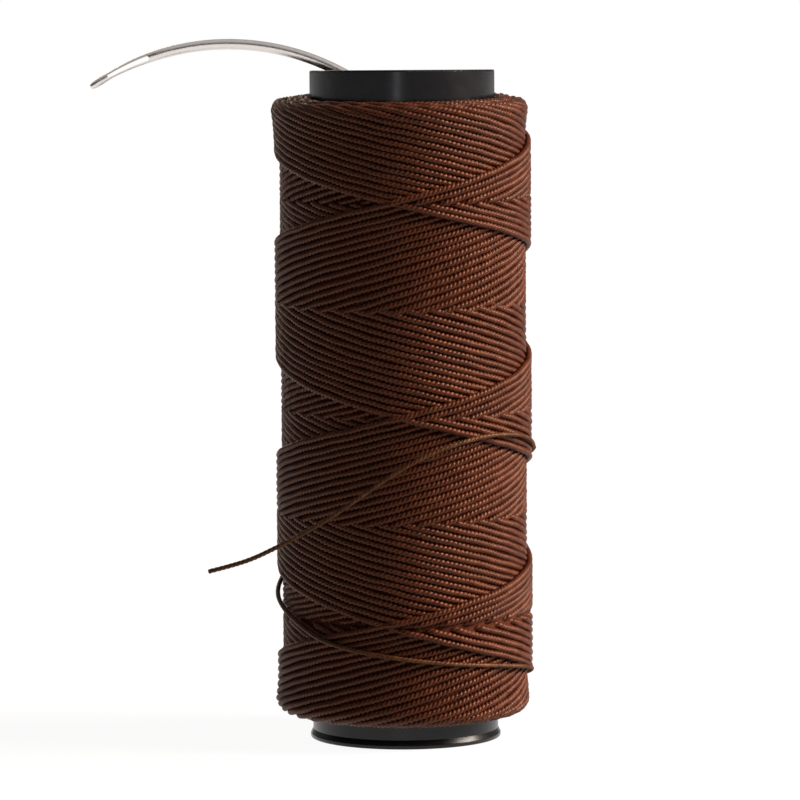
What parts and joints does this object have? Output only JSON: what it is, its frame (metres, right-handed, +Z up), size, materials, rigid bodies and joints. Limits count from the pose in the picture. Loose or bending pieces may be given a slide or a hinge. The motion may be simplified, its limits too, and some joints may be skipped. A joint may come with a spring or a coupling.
{
  "type": "waxed thread spool",
  "caption": "Waxed leatherworking thread cross-wound on a black plastic tube, with its last turn slack, its free end loose and a curved needle kept in the top.",
  "frame": {"origin": "on the tube's axis, in the plane of its foot", "axes": "+Z up along the tube's axis, -Y the front, +X to the viewer's right; the needle lies over -X"},
  "size_m": [0.0447, 0.0281, 0.0703],
  "materials": {
    "tube_plastic": "moulded, glossy black",
    "waxed_thread": "twisted polyester thread, waxed, dark brown",
    "needle_steel": "polished nickel-plated steel"
  },
  "bodies": {
    "spool": {"spool_tube": "tube_plastic", "inner_winding": "waxed_thread", "outer_winding": "waxed_thread", "slack_turn": "waxed_thread", "loose_end": "waxed_thread"},
    "needle": {"curved_needle": "needle_steel"}
  },
  "joints": [
    {"name": "needle_lift", "type": "slide", "parent": "spool", "child": "needle", "axis": [0, 0, 1], "range_m": [0, 0.02]}
  ]
}
